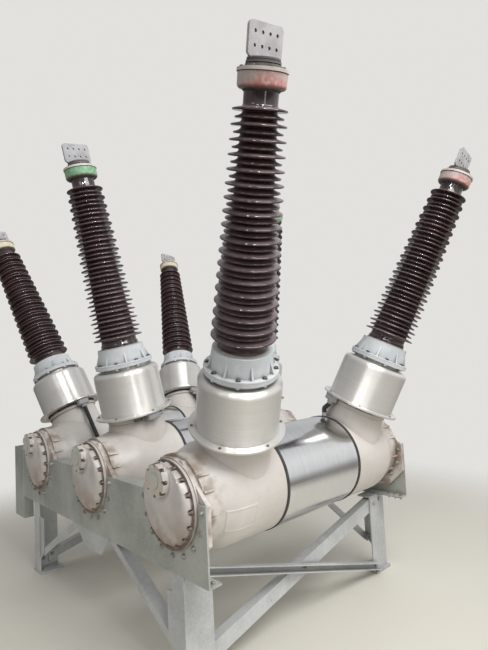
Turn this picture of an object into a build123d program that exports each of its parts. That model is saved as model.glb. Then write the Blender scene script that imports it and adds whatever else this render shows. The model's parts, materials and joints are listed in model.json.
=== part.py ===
from build123d import *
import os
from math import atan2, degrees, hypot

# Layout of the three poles. X runs from pole to pole, Y along the tanks, Z up from the floor.
pole_spacing = 920
axis_height = 890
fit_gap = 0.3

# Beams: a tall web plate at each end of the tanks, with flanges turned inwards
beam_face = 930
beam_margin_a = 2
beam_margin_c = 86
beam_plate = 10
beam_flange = 80
web_above_axis = 36
web_below_axis = 346
flange_notch_gap = 4

# Tank castings, bored through for the necks and closed by covers at both ends
barrel_radius = 282.7
casting_radius = 288
tank_end_radius = 246
tank_wall = 14
tank_mouth_radius = 196
spigot_radius = 230.5
tank_flange_plate = 24
tank_flange_half_width = 284
tank_flange_top = 222
tank_flange_top_cut = 191
tank_flange_foot = 276
tank_flange_foot_cut = 120
shoulder_start = 690
shoulder_length = 170
tank_rib_plate = 12
tank_rib_length = 72
tank_rib_angles = (-34, -11, 20, 39)

# Polished jacket round the barrel, with a rubber band at each edge
jacket_half_length = 338
jacket_plate = 6
band_width = 18
band_plate = 9.5

# End covers: a flat rim, a skewed dome with bolt pockets and a bearing hub above the tank axis
cover_rim_radius = 225
cover_rim_plate = 18
cover_dome_radius = 207
cover_pockets = 16
cover_pocket_radius = 15
dome_height = 46
hub_offset = 132
hub_radius = 84
hub_face = 96
hub_flare = 30
hub_flare_height = 40
hub_recesses = 8
hub_recess_circle = 77
hub_recess_radius = 12
hub_recess_depth = 22
hub_cap_radius = 38
hub_cap_height = 4

# Bushing axes: they start on the tank axis and lean out along and across it
bushing_base = 508
end_tilt = 12
side_lean = 23.5

# Stations along a bushing, measured from the tank axis
neck_radius = 160
neck_bore = 146
neck_root_radius = 226
neck_root_shift = 32
neck_root_height = 150
neck_top_radius = 187
neck_top_height = 362
neck_flange_radius = 197
neck_flange_plate = 22
housing_start = 400
housing_flange_radius = 264
housing_flange_plate = 14
housing_radius = 224
housing_height = 312
housing_wall = 6
housing_edge_round = 36
pedestal_radius = 166
pedestal_height = 23
collar_flange_radius = 196
collar_flange_plate = 22
collar_foot_radius = 168
collar_top_radius = 155
collar_height = 133
collar_ribs = 8
collar_rib_plate = 10
collar_rib_reach = 20
collar_rib_height = 84
collar_lug_circle = 180
collar_lug_radius = 13
collar_lug_height = 10

# Porcelain: a hollow tapered trunk with large and small sheds in turn
porcelain_seat_depth = 68
porcelain_foot_radius = 127
porcelain_wall = 28
trunk_foot_radius = 121
trunk_top_radius = 75
first_shed = 66
shed_pitch = 60.5
large_sheds = 18
large_reach_bottom = 48
large_reach_top = 45
small_reach_bottom = 33
small_reach_top = 31
shed_root_rise = 15
shed_root_drop = 5
neck_above_sheds = 77
cap_overlap = 35
cap_radius = 105
cap_height = 64
cap_edge = 18
cap_groove = 4

# Terminals: a rim plate, a stepped boss and an upright pad with two rows of four holes
terminal_rim_radius = 109
terminal_rim_plate = 13
terminal_rings = ((77, 15), (70, 4), (74, 9), (68, 3), (71, 8))
pad_width = 185
pad_plate = 14
pad_height = 125
pad_top_round = 20
pad_foot_cut = 30
pad_hole = 14
pad_columns = 4
pad_column_pitch = 40
pad_row_pitch = 50
pad_top_margin = 36

# Secondary gland boxes under the housings, with hoses to the tanks of poles A and C
gland_box_gap = 4
gland_box_width = 88
gland_box_depth = 48
gland_box_height = 46
gland_turn_a = 28
gland_stub_radius = 12
gland_stub_length = 34
hose_diameter = 32
hose_boss_radius = 17.5
hose_boss_height = 26
hose_landing = 376
hose_landing_turn = 1
hose_bend = 30
hose_clearance = 32
hose_bend_height = 110
hose_block_top = 30
hose_block = (62, 60)

# Legs: angles on base plates, with anchor holes
frame_shift = -26
leg_beyond_pole = 108
leg_width = 103
leg_depth = 180
leg_web = 9
leg_flange = 10
base_plate = 16
base_plate_margin = 26
anchor_hole = 24
anchor_spacing = 110

# Braces between the legs
brace_plate = 8
end_brace_width = 48
end_brace_flange = 72
end_brace_top_reach = 238
end_brace_foot_height = 169
end_brace_foot_gap = 31
gusset_plate = 8
gusset_top_half = 246
gusset_bottom_half = 115
gusset_drop = 130
leg_gusset_reach = 62
leg_gusset_low = 120
leg_gusset_high = 452
tie_height = 88
tie_width = 58
tie_below_beam = 69
tie_low = 112
tie_lap = 80
strut_height = 46
strut_width = 45
strut_plate = 6
strut_front_gap = 15
strut_high = 552
strut_low = 48
strut_lap = 35
strut_slot = (44, 14)

# Folded brackets on the C end of the beams
bracket_width = 216
bracket_top_above_axis = 51
bracket_bottom = 360
bracket_depth = 76
bracket_plate = 8

# Values worked out from the sizes above
housing_top = housing_start + housing_height
collar_start = housing_top + pedestal_height
collar_top = collar_start + collar_height
porcelain_start = collar_top - porcelain_seat_depth
first_shed_at = collar_top + first_shed
last_shed_at = first_shed_at + (large_sheds - 1) * shed_pitch
porcelain_top = last_shed_at + neck_above_sheds + cap_overlap
cap_start = porcelain_top - cap_overlap
cap_top = cap_start + cap_height
boss_start = cap_top + terminal_rim_plate
boss_top = boss_start + sum(height for radius, height in terminal_rings)
pad_top = boss_top + pad_height
web_top = axis_height + web_above_axis
web_bottom = axis_height - web_below_axis
beam_inner = beam_face - beam_plate
beam_length_a = pole_spacing + tank_flange_half_width + beam_margin_a
beam_length_c = pole_spacing + tank_flange_half_width + beam_margin_c
gusset_face = beam_face - leg_flange
gland_radius = neck_flange_radius + gland_box_gap + gland_box_depth / 2
leg_outer_face = pole_spacing + leg_beyond_pole
leg_inner_face = leg_outer_face - leg_width
leg_inner = beam_face - leg_depth
poles = {"a": 1, "b": 0, "c": -1}
ends = {"front": -1, "back": 1}


def disc(radius, low, high):
    """Solid round plate on the local Z axis between two stations."""
    return Pos(0, 0, low) * Cylinder(radius, high - low, align=(Align.CENTER, Align.CENTER, Align.MIN))


def plate(x_low, x_high, y_low, y_high, z_low, z_high):
    """Flat plate or block given by its faces."""
    size = (x_high - x_low, y_high - y_low, z_high - z_low)
    corner = (Align.MIN, Align.MIN, Align.MIN)
    return Pos(x_low, y_low, z_low) * Box(*size, align=corner)


def turned(points):
    """Revolves a closed outline of (radius, station) points about the local Z axis."""
    return revolve(Plane.XZ * make_face(Polyline(*points, close=True)), Axis.Z)


def at_pole(shape, side):
    """Moves a shape made round the origin to one pole's tank axis."""
    return Pos(side * pole_spacing, 0, axis_height) * shape


def on_bushing(shape, side, end):
    """Sets a shape made along local Z on the leaning axis of one bushing."""
    seat = Pos(side * pole_spacing, end * bushing_base, axis_height)
    return seat * Rot(0, side * side_lean, 0) * Rot(-end * end_tilt, 0, 0) * shape


# Tanks
def tank_solid(side):
    half = [
        (barrel_radius, 0),
        (barrel_radius, jacket_half_length + band_width + 2 * fit_gap),
        (casting_radius, jacket_half_length + band_width + 2 * fit_gap),
        (casting_radius, shoulder_start),
    ]
    shoulder_end = shoulder_start + shoulder_length
    flange_back = beam_inner - tank_flange_plate
    inner_radius = barrel_radius - tank_wall
    with BuildPart() as outer:
        with BuildSketch(Plane.XY):
            with BuildLine():
                Polyline(*half)
                Spline(half[-1], (tank_end_radius, shoulder_end), tangents=[(0, 1), (0, 1)])
                Polyline(
                    (tank_end_radius, shoulder_end),
                    (tank_end_radius, flange_back),
                    (spigot_radius, flange_back),
                    (spigot_radius, beam_face),
                    (0, beam_face),
                    (0, 0),
                    half[0],
                )
            make_face()
        revolve(axis=Axis.Y)
    with BuildPart() as inner:
        with BuildSketch(Plane.XY):
            with BuildLine():
                Polyline((0, 0), (inner_radius, 0), (inner_radius, shoulder_start))
                Spline(
                    (inner_radius, shoulder_start),
                    (tank_end_radius - tank_wall, shoulder_end),
                    tangents=[(0, 1), (0, 1)],
                )
                Polyline(
                    (tank_end_radius - tank_wall, shoulder_end),
                    (tank_mouth_radius, shoulder_end),
                    (tank_mouth_radius, beam_face),
                    (0, beam_face),
                    (0, 0),
                )
            make_face()
        revolve(axis=Axis.Y)
    solid = outer.part + mirror(outer.part, about=Plane.XZ)
    hollow = inner.part + mirror(inner.part, about=Plane.XZ)
    half_w = tank_flange_half_width
    top, top_cut = tank_flange_top, tank_flange_top_cut
    foot, foot_cut = tank_flange_foot, tank_flange_foot_cut
    outline = Polyline(
        (half_w, top - top_cut),
        (half_w - top_cut, top),
        (top_cut - half_w, top),
        (-half_w, top - top_cut),
        (-half_w, foot_cut - foot),
        (foot_cut - half_w, -foot),
        (half_w - foot_cut, -foot),
        (half_w, foot_cut - foot),
        close=True,
    )
    octagon = make_face(Plane.XZ * outline)
    for end in ends.values():
        solid += extrude(Pos(0, end * beam_inner, 0) * octagon, tank_flange_plate, dir=(0, -end, 0))
        for angle in tank_rib_angles:
            for turn in (angle, 180 - angle):
                solid += Rot(0, -turn, 0) * tank_rib(end)
        place = Pos(0, end * bushing_base, 0) * Rot(0, side * side_lean, 0) * Rot(-end * end_tilt, 0, 0)
        solid += place * neck_solid(end)
        hollow += place * disc(neck_bore, barrel_radius / 3, housing_start)
    return at_pole(solid - hollow, side)


def neck_solid(end):
    """Flared neck, wider at its root on the side of the tank's end, with a bolted flange on top."""
    root = Pos(0, end * neck_root_shift, neck_root_height) * Circle(neck_root_radius)
    neck = loft([root, Pos(0, 0, neck_top_height) * Circle(neck_top_radius)])
    neck += disc(neck_flange_radius, neck_top_height, neck_top_height + neck_flange_plate)
    return neck + disc(neck_radius, neck_top_height, housing_start)


def tank_rib(end):
    """Stiffening rib from the shoulder to the tank flange, along the local X radius."""
    root = tank_end_radius - tank_wall / 2
    flange_back = beam_inner - tank_flange_plate
    outline = Polyline(
        (root, end * flange_back),
        (tank_end_radius + 14, end * flange_back),
        (tank_end_radius + 14, end * (flange_back - 12)),
        (tank_end_radius + 4, end * (flange_back - tank_rib_length)),
        (root, end * (flange_back - tank_rib_length)),
        close=True,
    )
    return extrude(make_face(outline), tank_rib_plate / 2, both=True)


def ring_on_tank(inner, outer, low, high):
    """Ring round the tank axis between two places along Y."""
    ring = Cylinder(outer, high - low) - Cylinder(inner, high - low)
    return Pos(0, (low + high) / 2, 0) * Rot(90, 0, 0) * ring


def jacket_solid(side):
    ring = ring_on_tank(
        barrel_radius + fit_gap,
        barrel_radius + fit_gap + jacket_plate,
        -jacket_half_length,
        jacket_half_length,
    )
    return at_pole(ring, side)


def band_solids(side):
    rings = []
    for end in ends.values():
        middle = end * (jacket_half_length + fit_gap + band_width / 2)
        ring = ring_on_tank(
            barrel_radius + fit_gap,
            barrel_radius + fit_gap + band_plate,
            middle - band_width / 2,
            middle + band_width / 2,
        )
        rings.append(at_pole(ring, side))
    return rings


# End covers
def cover_solid(side, end):
    """Cover drawn with its rim seat at local Z = 0 and its hub offset along local +Y."""
    sections = []
    for share, radius_share, offset_share in ((0, 1, 0), (0.42, 0.9, 0.08), (0.8, 0.55, 0.5), (1, 0.1, 0.9)):
        radius = hub_radius + (cover_dome_radius - hub_radius) * radius_share
        height = cover_rim_plate + dome_height * share
        sections.append(Pos(0, hub_offset * offset_share, height) * Circle(radius))
    body = loft(sections) + Pos(0, hub_offset, 0) * disc(hub_radius, 0, hub_face)
    flare_top = hub_face - 12
    flare_foot = flare_top - hub_flare_height
    with BuildPart() as flare:
        with BuildSketch(Plane.XZ):
            with BuildLine():
                Spline(
                    (hub_radius - 1, flare_top),
                    (hub_radius + hub_flare, flare_foot),
                    tangents=[(0, -1), (1, -0.4)],
                )
                Polyline(
                    (hub_radius + hub_flare, flare_foot),
                    (hub_radius + hub_flare, cover_rim_plate),
                    (0, cover_rim_plate),
                    (0, flare_top),
                    (hub_radius - 1, flare_top),
                )
            make_face()
        revolve(axis=Axis.Z)
    body += (Pos(0, hub_offset, 0) * flare.part) & disc(cover_dome_radius, 0, hub_face)
    for spot in PolarLocations(cover_dome_radius, cover_pockets):
        body -= spot * disc(cover_pocket_radius, cover_rim_plate, 2 * hub_face)
    for spot in PolarLocations(hub_recess_circle, hub_recesses):
        recess = spot * disc(hub_recess_radius, hub_face - hub_recess_depth, 2 * hub_face)
        body -= Pos(0, hub_offset, 0) * recess
    body += Pos(0, hub_offset, 0) * disc(hub_cap_radius, hub_face / 2, hub_face + hub_cap_height)
    cover = body + disc(cover_rim_radius, 0, cover_rim_plate)
    upright = Pos(0, end * beam_face, 0) * Rot(0, 0, 90 + 90 * end) * Rot(90, 0, 0)
    return at_pole(upright * cover, side)


# Current transformer housings
def housing_solid(side, end):
    top = housing_top
    shell = turned(
        [
            (neck_bore, housing_start),
            (housing_flange_radius, housing_start),
            (housing_flange_radius, housing_start + housing_flange_plate),
            (housing_radius, housing_start + housing_flange_plate),
            (housing_radius, top),
            (pedestal_radius, top),
            (pedestal_radius, collar_start),
            (neck_bore, collar_start),
        ]
    )
    edge = shell.edges().filter_by(GeomType.CIRCLE).filter_by_position(Axis.Z, top - 0.1, top + 0.1)
    shell = fillet(edge.sort_by(SortBy.RADIUS)[-1], housing_edge_round)
    room = disc(housing_radius - housing_wall, housing_start + housing_flange_plate, top - housing_wall * 2)
    room -= disc(neck_bore + housing_wall, housing_start, collar_start)
    return on_bushing(shell - room, side, end)


# Bushing collars
def collar_solid(side, end):
    low, top = collar_start, collar_top
    flange_top = low + collar_flange_plate
    bore = porcelain_foot_radius + fit_gap
    seat = porcelain_start
    collar = turned(
        [
            (bore - porcelain_wall, low),
            (collar_flange_radius - 2, low),
            (collar_flange_radius, low + 2),
            (collar_flange_radius, flange_top - 2),
            (collar_flange_radius - 2, flange_top),
            (collar_foot_radius + 4, flange_top),
            (collar_foot_radius, flange_top + 4),
            (collar_top_radius + 1, top - 8),
            (collar_top_radius + 1, top - 2),
            (collar_top_radius - 1, top),
            (bore, top),
            (bore, seat),
            (bore - porcelain_wall, seat),
        ]
    )
    inside = collar_top_radius - 10
    outline = Polyline(
        (inside, flange_top - 1),
        (collar_foot_radius + collar_rib_reach, flange_top - 1),
        (collar_foot_radius + collar_rib_reach, flange_top + 5),
        (collar_top_radius, flange_top + collar_rib_height),
        (inside, flange_top + collar_rib_height),
        close=True,
    )
    rib = extrude(Plane.XZ * make_face(outline), collar_rib_plate / 2, both=True)
    lug = Pos(collar_lug_circle, 0, 0) * disc(collar_lug_radius, low - collar_lug_height, low + 1)
    for step in range(collar_ribs):
        collar += Rot(0, 0, (step + 0.5) * 360 / collar_ribs) * rib
        collar += Rot(0, 0, step * 360 / collar_ribs) * lug
    return on_bushing(collar, side, end)


# Porcelain insulators
def trunk_radius(station):
    """Radius of the plain trunk at a station between the collar and the cap."""
    share = (station - collar_top) / (last_shed_at - collar_top)
    return trunk_foot_radius + (trunk_top_radius - trunk_foot_radius) * min(share, 1)


def shed_outline(station, reach_bottom, reach_top):
    """Outline points of one shed: flat underside, sloped top and a blunt tip."""
    share = (station - first_shed_at) / (last_shed_at - first_shed_at)
    reach = reach_bottom + (reach_top - reach_bottom) * share
    root_low = station - shed_root_drop
    root_high = station + shed_root_rise
    return [
        (trunk_radius(root_low), root_low),
        (trunk_radius(station) + reach, station - 3),
        (trunk_radius(station) + reach, station + 3),
        (trunk_radius(root_high), root_high),
    ]


def porcelain_solid(side, end):
    foot_top = collar_top + first_shed / 3
    points = [
        (porcelain_foot_radius - porcelain_wall, porcelain_start),
        (porcelain_foot_radius, porcelain_start),
        (porcelain_foot_radius, foot_top),
        (trunk_radius(foot_top + 8), foot_top + 8),
    ]
    for index in range(2 * large_sheds - 1):
        station = first_shed_at + index * shed_pitch / 2
        large = index % 2 == 0
        reach_bottom = large_reach_bottom if large else small_reach_bottom
        reach_top = large_reach_top if large else small_reach_top
        points += shed_outline(station, reach_bottom, reach_top)
    points += [
        (trunk_top_radius, porcelain_top),
        (trunk_top_radius - porcelain_wall, porcelain_top),
    ]
    return on_bushing(turned(points), side, end)


# Metal caps and terminals
def cap_solid(side, end):
    bore = trunk_top_radius + fit_gap
    cap = turned(
        [
            (bore, cap_start),
            (cap_radius, cap_start),
            (cap_radius, cap_top - cap_groove),
            (cap_radius - cap_groove, cap_top - cap_groove),
            (cap_radius - cap_groove, cap_top),
            (trunk_top_radius - porcelain_wall, cap_top),
            (trunk_top_radius - porcelain_wall, porcelain_top),
            (bore, porcelain_top),
        ]
    )
    edge = cap.edges().filter_by(GeomType.CIRCLE).filter_by_position(Axis.Z, cap_start - 0.1, cap_start + 0.1)
    cap = fillet(edge.sort_by(SortBy.RADIUS)[-1], cap_edge)
    return on_bushing(cap, side, end)


def terminal_solid(side, end):
    body = disc(terminal_rim_radius, cap_top, boss_start)
    station = boss_start
    for radius, height in terminal_rings:
        body += disc(radius, station, station + height)
        station += height
    low = boss_start + (boss_top - boss_start) / 2
    pad = Pos(0, (low + pad_top) / 2) * Rectangle(pad_width, pad_top - low)
    pad = chamfer(pad.vertices().group_by(Axis.Y)[0], pad_foot_cut)
    pad = fillet(pad.vertices().group_by(Axis.Y)[-1], pad_top_round)
    body += extrude(Plane.YZ * pad, pad_plate / 2, both=True)
    rows = Pos(0, pad_top - pad_top_margin - pad_row_pitch / 2)
    holes = rows * GridLocations(pad_column_pitch, pad_row_pitch, pad_columns, 2)
    for hole in holes:
        body -= extrude(Plane.YZ * hole * Circle(pad_hole / 2), pad_plate, both=True)
    return on_bushing(body, side, end)


# Gland boxes and hoses
def gland_solid(side, end):
    """Gland box under a housing flange, with its hose on poles A and C and a closed stub on pole B."""
    box_low = housing_start - gland_box_height
    box = plate(
        gland_radius - gland_box_depth / 2,
        gland_radius + gland_box_depth / 2,
        -gland_box_width / 2,
        gland_box_width / 2,
        box_low,
        housing_start,
    )
    turn = -end * (90 + gland_turn_a) if side > 0 else 0
    if side == 0:
        stub = Rot(90 * end, 0, 0) * disc(gland_stub_radius, 0, gland_box_width / 2 + gland_stub_length)
        box += Pos(gland_radius, 0, box_low + gland_box_height / 2) * stub
    piece = on_bushing(Rot(0, 0, turn) * box, side, end)
    if side == 0:
        return piece
    outlet = Rot(0, 0, turn) * Pos(gland_radius, 0, box_low)
    start = on_bushing(outlet * Pos(0, 0, 4), side, end).position
    bend = on_bushing(outlet * Pos(0, 0, -hose_bend), side, end).position
    if side > 0:
        return piece + top_hose(start, bend, end)
    return piece + flank_hose(start, bend)


def hose_along(path):
    return sweep(Plane(path @ 0, z_dir=path % 0) * Circle(hose_diameter / 2), path=path)


def top_hose(start, bend, end):
    """Hose from a gland to a boss on top of tank A."""
    landing = casting_radius + fit_gap
    spot = Pos(pole_spacing, end * hose_landing, axis_height) * Rot(0, hose_landing_turn, 0)
    above = (spot * Pos(0, 0, landing + hose_boss_height + hose_bend)).position
    low = (spot * Pos(0, 0, landing + hose_boss_height - 1)).position
    path = FilletPolyline(start, bend, above, low, radius=hose_bend * 0.6)
    return hose_along(path) + spot * disc(hose_boss_radius, landing, landing + hose_boss_height)


def flank_hose(start, bend):
    """Hose from a gland down the flank of tank C to a terminal block."""
    flank = casting_radius + hose_clearance + hose_diameter / 2 - pole_spacing
    knee = (flank, bend.Y, axis_height + hose_bend_height)
    low = (flank, bend.Y, axis_height + hose_block_top - 1)
    path = FilletPolyline(start, bend, knee, low, radius=hose_bend)
    width, height = hose_block
    inner = casting_radius + fit_gap - pole_spacing
    outer = flank + width / 2
    block = plate(
        inner,
        outer,
        bend.Y - width / 2,
        bend.Y + width / 2,
        axis_height + hose_block_top - height,
        axis_height + hose_block_top,
    )
    return hose_along(path) + block


# Beams
def beam_solid(end):
    """Channel beam whose web carries one end of the three tanks."""
    face, inner = end * beam_face, end * beam_inner
    y_low, y_high = min(face, inner), max(face, inner)
    beam = plate(-beam_length_c, beam_length_a, y_low, y_high, web_bottom, web_top)
    lip = end * (beam_face - beam_flange)
    y_low, y_high = min(lip, inner), max(lip, inner)
    beam += plate(-beam_length_c, beam_length_a, y_low, y_high, web_bottom, web_bottom + beam_plate)
    top = plate(-beam_length_c, beam_length_a, y_low, y_high, web_top - beam_plate, web_top)
    notch = tank_flange_half_width + flange_notch_gap
    for side in poles.values():
        middle = side * pole_spacing
        top -= plate(middle - notch, middle + notch, y_low, y_high, web_bottom, web_top)
    beam += top
    for side in poles.values():
        beam -= at_pole(ring_on_tank(0, spigot_radius + 2 * fit_gap, *sorted((face, inner))), side)
    return beam


# Legs
def leg_solid(side, end):
    """Angle leg with its web outwards, a cap plate and a base plate with anchor holes."""
    outer, inner = leg_outer_face, leg_inner_face
    leg = plate(outer - leg_web, outer, leg_inner, beam_face, base_plate, web_bottom)
    leg += plate(inner, outer, beam_face - leg_flange, beam_face, base_plate, web_bottom)
    leg += plate(inner, outer, leg_inner, beam_face, web_bottom - leg_flange, web_bottom)
    margin = base_plate_margin
    foot = plate(inner - margin, outer + margin, leg_inner, beam_face, 0, base_plate)
    middle_x = inner + (leg_width - leg_web) / 2
    middle_y = (leg_inner + beam_face) / 2
    for step in (-1, 1):
        spot = Pos(middle_x, middle_y + step * anchor_spacing / 2, 0)
        foot -= spot * Cylinder(anchor_hole / 2, 4 * base_plate)
    return at_side(at_end(leg + foot, end), side)


# Braces
def bar_between(start, finish, height, width, thickness, flanges):
    """Rolled bar from start to finish in the local XY plane, web at Z = 0, flanges towards +Z."""
    length = hypot(finish[0] - start[0], finish[1] - start[1])
    turn = degrees(atan2(finish[1] - start[1], finish[0] - start[0]))
    bar = plate(0, length, -height / 2, height / 2, 0, thickness)
    for flange in flanges:
        edge = flange * (height / 2 - thickness)
        bar += plate(0, length, *sorted((edge, flange * height / 2)), 0, width)
    return Pos(*start, 0) * Rot(0, 0, turn) * bar


def at_end(shape, end):
    """Keeps a shape drawn for the back of the frame, or mirrors it to the front."""
    return shape if end > 0 else mirror(shape, about=Plane.XZ)


def at_side(shape, side):
    """Sets a shape drawn for the A side of the frame on that side, or mirrors it to the C side."""
    return Pos(frame_shift, 0, 0) * (shape if side > 0 else mirror(shape, about=Plane.YZ))


def end_braces(end):
    """Two angle bars from the bottom of a beam down to the leg gussets."""
    bar = bar_between(
        (end_brace_top_reach, web_bottom),
        (leg_inner_face - end_brace_foot_gap, end_brace_foot_height),
        end_brace_width,
        end_brace_flange,
        brace_plate,
        (1,),
    )
    bar = Pos(0, gusset_face - gusset_plate, 0) * Rot(90, 0, 0) * bar
    bar &= plate(0, leg_inner_face, 0, beam_face, 0, web_bottom)
    return [at_side(at_end(bar, end), side) for side in (1, -1)]


def gussets(end):
    """Middle gusset under a beam and one gusset on each leg."""
    middle = Polyline(
        (-gusset_top_half, web_bottom),
        (gusset_top_half, web_bottom),
        (gusset_bottom_half, web_bottom - gusset_drop),
        (-gusset_bottom_half, web_bottom - gusset_drop),
        close=True,
    )
    web_side = leg_outer_face - leg_web - fit_gap
    free_side = leg_inner_face - leg_gusset_reach
    at_leg = Polyline(
        (web_side, leg_gusset_low),
        (web_side, leg_gusset_high),
        (free_side, leg_gusset_high - leg_gusset_reach / 4),
        (free_side, leg_gusset_low + leg_gusset_reach),
        (leg_inner_face, leg_gusset_low),
        close=True,
    )
    pieces = []
    for outline, side in ((middle, 1), (at_leg, 1), (at_leg, -1)):
        solid = extrude(make_face(Plane.XZ * outline), gusset_plate, dir=(0, -1, 0))
        pieces.append(at_side(at_end(Pos(0, gusset_face, 0) * solid, end), side))
    return pieces


def across(bar, x):
    """Stands a bar drawn in the XY plane upright along Y, with its web's outer face at X = x."""
    return Pos(x, 0, 0) * (Rot(0, 0, 90) * (Rot(90, 0, 0) * bar))


def side_tie(side):
    """Angle bar on the inner faces of two legs, high at the back leg and low at the front leg."""
    high = web_bottom - tie_below_beam
    slope = (high - tie_low) / (2 * leg_inner)
    reach = leg_inner + tie_lap
    spare = tie_height
    bar = bar_between(
        (-reach - spare, tie_low - slope * (tie_lap + spare)),
        (reach + spare, high + slope * (tie_lap + spare)),
        tie_height,
        tie_width,
        brace_plate,
        (1,),
    )
    seat = leg_outer_face - leg_web
    bar = across(mirror(bar, about=Plane.XY), seat)
    room_top = web_bottom - leg_flange - fit_gap
    return at_side(bar & plate(seat - tie_width, seat, -reach, reach, 0, room_top), side)


def side_strut(side):
    """Channel bolted outside both legs, high at the front and low at the back, open outwards."""
    front = (beam_flange + strut_front_gap - beam_face, strut_high)
    back = (leg_inner + strut_lap, strut_low)
    bar = bar_between(front, back, strut_height, strut_width, strut_plate, (-1, 1))
    middle = ((front[0] + back[0]) / 2, (front[1] + back[1]) / 2)
    turn = degrees(atan2(back[1] - front[1], back[0] - front[0]))
    slot = extrude(SlotOverall(*strut_slot), 2 * strut_plate, both=True)
    bar -= Pos(*middle, 0) * Rot(0, 0, turn) * slot
    return at_side(across(bar, leg_outer_face), side)


# Brackets on the C end of the beams
def bracket_solid(end):
    face, back = end * beam_face, end * (beam_face - bracket_depth)
    y_low, y_high = sorted((face, back))
    x_high = -beam_length_c
    x_low = x_high - bracket_width
    top = axis_height + bracket_top_above_axis
    bracket = plate(x_low, x_high, y_low, y_high, bracket_bottom, top)
    room_low, room_high = sorted((end * (beam_face - bracket_plate), back))
    bracket -= plate(
        x_low + bracket_plate, x_high - bracket_plate, room_low, room_high, bracket_bottom, top
    )
    return bracket


# Write one file per node
os.makedirs("parts", exist_ok=True)


def save(name, solids):
    """Writes one node, whose solids don't touch each other."""
    flat = []
    for shape in solids:
        flat += list(shape.solids())
    export_step(flat[0] if len(flat) == 1 else Compound(children=flat), f"parts/{name}.step")
    print(name, len(flat), "solids")


all_bands = []
for pole, side in poles.items():
    save(f"tank_{pole}", [tank_solid(side)])
    save(f"jacket_{pole}", [jacket_solid(side)])
    all_bands += band_solids(side)
    for end_name, end in ends.items():
        save(f"cover_{end_name}_{pole}", [cover_solid(side, end)])
    save(f"ct_housings_{pole}", [housing_solid(side, end) for end in ends.values()])
    save(f"collars_{pole}", [collar_solid(side, end) for end in ends.values()])
    save(f"porcelains_{pole}", [porcelain_solid(side, end) for end in ends.values()])
    save(f"caps_{pole}", [cap_solid(side, end) for end in ends.values()])
    save(f"terminals_{pole}", [terminal_solid(side, end) for end in ends.values()])
    save(f"hoses_{pole}", [gland_solid(side, end) for end in ends.values()])
save("jacket_bands", all_bands)

for end_name, end in ends.items():
    save(f"beam_{end_name}", [beam_solid(end)])
    save(f"legs_{end_name}", [leg_solid(side, end) for side in (-1, 1)])
    save(f"end_braces_{end_name}", end_braces(end))
    save(f"gussets_{end_name}", gussets(end))
for pole, side in (("a", 1), ("c", -1)):
    save(f"side_tie_{pole}", [side_tie(side)])
    save(f"side_strut_{pole}", [side_strut(side)])
save("end_brackets", [bracket_solid(end) for end in ends.values()])
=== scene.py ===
import json
import random
from math import cos, pi, radians, sin, tan

import bmesh
import bpy
from mathutils import Matrix, Vector


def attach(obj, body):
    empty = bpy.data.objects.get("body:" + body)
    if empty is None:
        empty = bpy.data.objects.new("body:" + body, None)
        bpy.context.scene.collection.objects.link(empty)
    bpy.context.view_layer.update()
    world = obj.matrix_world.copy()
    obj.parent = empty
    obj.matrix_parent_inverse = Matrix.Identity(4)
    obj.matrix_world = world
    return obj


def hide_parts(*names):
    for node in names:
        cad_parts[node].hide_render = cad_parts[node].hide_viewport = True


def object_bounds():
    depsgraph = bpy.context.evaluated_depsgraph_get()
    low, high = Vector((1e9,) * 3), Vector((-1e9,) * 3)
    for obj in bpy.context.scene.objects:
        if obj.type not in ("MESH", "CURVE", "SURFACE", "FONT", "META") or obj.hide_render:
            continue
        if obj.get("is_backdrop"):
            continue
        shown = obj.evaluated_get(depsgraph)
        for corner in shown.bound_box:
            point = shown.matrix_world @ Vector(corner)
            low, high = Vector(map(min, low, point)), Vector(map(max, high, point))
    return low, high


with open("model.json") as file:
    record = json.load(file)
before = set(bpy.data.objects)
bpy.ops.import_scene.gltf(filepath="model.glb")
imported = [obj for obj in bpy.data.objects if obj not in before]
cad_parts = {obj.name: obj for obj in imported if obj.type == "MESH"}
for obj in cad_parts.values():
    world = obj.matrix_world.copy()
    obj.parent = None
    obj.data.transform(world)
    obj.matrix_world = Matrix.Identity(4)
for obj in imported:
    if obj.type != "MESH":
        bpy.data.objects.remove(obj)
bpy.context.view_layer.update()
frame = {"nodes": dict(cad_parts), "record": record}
record_slots = {row["node"]: row["material_slot"] for row in frame["record"]["subparts"]}

# Layout of the object, in metres
POLE_SPACING = 0.920
AXIS_HEIGHT = 0.890
BEAM_FACE = 0.930
BUSHING_BASE = 0.508
END_TILT = radians(12)
SIDE_LEAN = radians(23.5)

# Poles by their side along X, ends by their side along Y with the front first
POLES = {"a": 1, "b": 0, "c": -1}
ENDS = (-1, 1)
BUSHINGS = [(side, end) for side in POLES.values() for end in ENDS]

# Stations along a bushing, from the tank axis
NECK_TOP = 0.384
HOUSING_START = 0.400
HOUSING_TOP = 0.712
COLLAR_START = 0.735
COLLAR_TOP = 0.868
FIRST_SHED = 0.934
SHED_PITCH = 0.0605
LARGE_SHEDS = 18
LAST_SHED = FIRST_SHED + (LARGE_SHEDS - 1) * SHED_PITCH
CAP_START = 2.0395
CAP_TOP = 2.1035
RIM_TOP = CAP_TOP + 0.013
BOSS_TOP = RIM_TOP + 0.039

# Steelwork: the frame stands a little towards pole C
FRAME_SHIFT = -0.026
WEB_BOTTOM = 0.544
LEG_OUTER = 1.028
LEG_INNER = 0.925


# Places
def tank_place(side):
    """From a tank's own frame, with its axis along Y, to the row frame."""
    return Matrix.Translation((side * POLE_SPACING, 0, AXIS_HEIGHT))


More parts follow.
